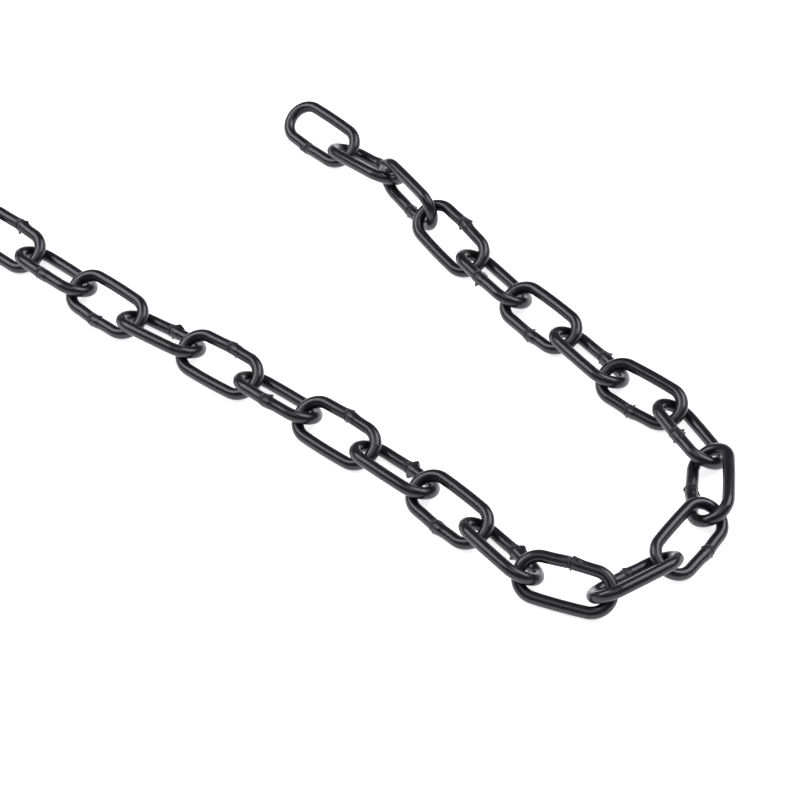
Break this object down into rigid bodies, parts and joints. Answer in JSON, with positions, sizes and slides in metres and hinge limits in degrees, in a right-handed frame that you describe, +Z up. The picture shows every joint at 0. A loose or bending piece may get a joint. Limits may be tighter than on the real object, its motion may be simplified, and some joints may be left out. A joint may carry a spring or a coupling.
{
  "type": "length of steel link chain",
  "caption": "Length of side welded steel link chain painted black, lying on the floor in a U, each link free to swing on the next.",
  "frame": {"origin": "middle of the chain's box as it lies, at the floor", "axes": "+Z up from the floor, +X along the longer side of the lay, from its open end towards its turn"},
  "size_m": [0.5322, 0.4016, 0.0219],
  "materials": {
    "black_paint": "satin black paint"
  },
  "bodies": {
    "link_01": {"link_01": "black_paint"},
    "link_02": {"link_02": "black_paint"},
    "link_03": {"link_03": "black_paint"},
    "link_04": {"link_04": "black_paint"},
    "link_05": {"link_05": "black_paint"},
    "link_06": {"link_06": "black_paint"},
    "link_07": {"link_07": "black_paint"},
    "link_08": {"link_08": "black_paint"},
    "link_09": {"link_09": "black_paint"},
    "link_10": {"link_10": "black_paint"},
    "link_11": {"link_11": "black_paint"},
    "link_12": {"link_12": "black_paint"},
    "link_13": {"link_13": "black_paint"},
    "link_14": {"link_14": "black_paint"},
    "link_15": {"link_15": "black_paint"},
    "link_16": {"link_16": "black_paint"},
    "link_17": {"link_17": "black_paint"},
    "link_18": {"link_18": "black_paint"},
    "link_19": {"link_19": "black_paint"},
    "link_20": {"link_20": "black_paint"},
    "link_21": {"link_21": "black_paint"},
    "link_22": {"link_22": "black_paint"},
    "link_23": {"link_23": "black_paint"},
    "link_24": {"link_24": "black_paint"},
    "link_25": {"link_25": "black_paint"},
    "link_26": {"link_26": "black_paint"},
    "link_27": {"link_27": "black_paint"},
    "link_28": {"link_28": "black_paint"},
    "link_29": {"link_29": "black_paint"},
    "link_30": {"link_30": "black_paint"},
    "link_31": {"link_31": "black_paint"},
    "link_32": {"link_32": "black_paint"}
  },
  "joints": [
    {"name": "swing_20", "type": "hinge", "parent": "link_21", "child": "link_20", "pos_m": [0.2093, -0.19415, 0.00838], "axis": [-0.4047, 0.6233, -0.6691], "range_deg": [-60, 5]},
    {"name": "swing_19", "type": "hinge", "parent": "link_20", "child": "link_19", "pos_m": [0.18092, -0.18225, 0.00765], "axis": [0.2695, 0.7405, 0.6157], "range_deg": [-10, 60]},
    {"name": "swing_18", "type": "hinge", "parent": "link_19", "child": "link_18", "pos_m": [0.16249, -0.15805, 0.00766], "axis": [-0.6366, -0.5155, 0.5736], "range_deg": [-10, 30]},
    {"name": "swing_17", "type": "hinge", "parent": "link_18", "child": "link_17", "pos_m": [0.14213, -0.13642, 0.00677], "axis": [-0.6481, -0.6044, -0.4633], "range_deg": [-25, 15]},
    {"name": "swing_16", "type": "hinge", "parent": "link_17", "child": "link_16", "pos_m": [0.11962, -0.11636, 0.00677], "axis": [0.593, 0.6586, -0.4633], "range_deg": [-25, 25]},
    {"name": "swing_15", "type": "hinge", "parent": "link_16", "child": "link_15", "pos_m": [0.09607, -0.09666, 0.00676], "axis": [0.5567, 0.6634, 0.5], "range_deg": [-20, 15]},
    {"name": "swing_14", "type": "hinge", "parent": "link_15", "child": "link_14", "pos_m": [0.07188, -0.07711, 0.00676], "axis": [-0.545, -0.673, 0.5], "range_deg": [-25, 15]},
    {"name": "swing_13", "type": "hinge", "parent": "link_14", "child": "link_13", "pos_m": [0.0471, -0.05849, 0.00676], "axis": [-0.5212, -0.6916, -0.5], "range_deg": [-25, 25]},
    {"name": "swing_12", "type": "hinge", "parent": "link_13", "child": "link_12", "pos_m": [0.02168, -0.04144, 0.00677], "axis": [0.4956, 0.7347, -0.4633], "range_deg": [-15, 25]},
    {"name": "swing_11", "type": "hinge", "parent": "link_12", "child": "link_11", "pos_m": [-0.00078, -0.02161, 0.00677], "axis": [0.5814, 0.6688, 0.4633], "range_deg": [-20, 20]},
    {"name": "swing_10", "type": "hinge", "parent": "link_11", "child": "link_10", "pos_m": [-0.02384, -0.00157, 0.00677], "axis": [-0.5814, -0.6688, 0.4633], "range_deg": [-20, 25]},
    {"name": "swing_09", "type": "hinge", "parent": "link_10", "child": "link_09", "pos_m": [-0.04671, 0.01906, 0.00676], "axis": [-0.5795, -0.6436, -0.5], "range_deg": [-15, 35]},
    {"name": "swing_08", "type": "hinge", "parent": "link_09", "child": "link_08", "pos_m": [-0.07081, 0.03848, 0.00676], "axis": [0.545, 0.673, -0.5], "range_deg": [-15, 25]},
    {"name": "swing_07", "type": "hinge", "parent": "link_08", "child": "link_07", "pos_m": [-0.0956, 0.0571, 0.00676], "axis": [0.5212, 0.6916, 0.5], "range_deg": [-20, 25]},
    {"name": "swing_06", "type": "hinge", "parent": "link_07", "child": "link_06", "pos_m": [-0.11985, 0.07608, 0.00677], "axis": [-0.5456, -0.6983, 0.4633], "range_deg": [-25, 25]},
    {"name": "swing_05", "type": "hinge", "parent": "link_06", "child": "link_05", "pos_m": [-0.14334, 0.09586, 0.00676], "axis": [-0.5567, -0.6634, -0.5], "range_deg": [-25, 15]},
    {"name": "swing_04", "type": "hinge", "parent": "link_05", "child": "link_04", "pos_m": [-0.16634, 0.11664, 0.00676], "axis": [0.5795, 0.6436, -0.5], "range_deg": [-20, 15]},
    {"name": "swing_03", "type": "hinge", "parent": "link_04", "child": "link_03", "pos_m": [-0.18907, 0.13786, 0.00676], "axis": [0.5906, 0.6334, 0.5], "range_deg": [-25, 25]},
    {"name": "swing_02", "type": "hinge", "parent": "link_03", "child": "link_02", "pos_m": [-0.21228, 0.15796, 0.00677], "axis": [-0.5814, -0.6688, 0.4633], "range_deg": [-20, 20]},
    {"name": "swing_01", "type": "hinge", "parent": "link_02", "child": "link_01", "pos_m": [-0.23621, 0.17655, 0.00677], "axis": [-0.5456, -0.6983, -0.4633], "range_deg": [-20, 20]},
    {"name": "swing_22", "type": "hinge", "parent": "link_21", "child": "link_22", "pos_m": [0.23756, -0.1758, 0.00838], "axis": [0.4047, -0.6233, 0.6691], "range_deg": [-45, 15]},
    {"name": "swing_23", "type": "hinge", "parent": "link_22", "child": "link_23", "pos_m": [0.25555, -0.15026, 0.00669], "axis": [0.7208, -0.5237, -0.454], "range_deg": [-20, 60]},
    {"name": "swing_24", "type": "hinge", "parent": "link_23", "child": "link_24", "pos_m": [0.25735, -0.11971, 0.00754], "axis": [-0.8259, 0.0723, -0.5592], "range_deg": [-15, 60]},
    {"name": "swing_25", "type": "hinge", "parent": "link_24", "child": "link_25", "pos_m": [0.24215, -0.09301, 0.00664], "axis": [-0.7722, -0.4106, 0.4848], "range_deg": [-20, 20]},
    {"name": "swing_26", "type": "hinge", "parent": "link_25", "child": "link_26", "pos_m": [0.21912, -0.07478, 0.00677], "axis": [0.5696, 0.6789, 0.4633], "range_deg": [-25, 15]},
    {"name": "swing_27", "type": "hinge", "parent": "link_26", "child": "link_27", "pos_m": [0.20174, -0.05093, 0.00677], "axis": [0.7078, 0.5333, -0.4633], "range_deg": [-25, 20]},
    {"name": "swing_28", "type": "hinge", "parent": "link_27", "child": "link_28", "pos_m": [0.18184, -0.02822, 0.00677], "axis": [-0.6688, -0.5814, -0.4633], "range_deg": [-25, 30]},
    {"name": "swing_29", "type": "hinge", "parent": "link_28", "child": "link_29", "pos_m": [0.16405, -0.00349, 0.00676], "axis": [-0.7006, -0.509, 0.5], "range_deg": [-5, 45]},
    {"name": "swing_30", "type": "hinge", "parent": "link_29", "child": "link_30", "pos_m": [0.14583, 0.01971, 0.01082], "axis": [0.7279, 0.4749, 0.4945], "range_deg": [-15, 20]},
    {"name": "swing_31", "type": "hinge", "parent": "link_30", "child": "link_31", "pos_m": [0.12892, 0.04595, 0.01119], "axis": [0.0293, 0.019, -0.9994], "range_deg": [-40, 15]},
    {"name": "swing_32", "type": "hinge", "parent": "link_31", "child": "link_32", "pos_m": [0.1082, 0.06774, 0.00588], "axis": [-0.6808, -0.5397, 0.4951], "range_deg": [-20, 15]}
  ]
}
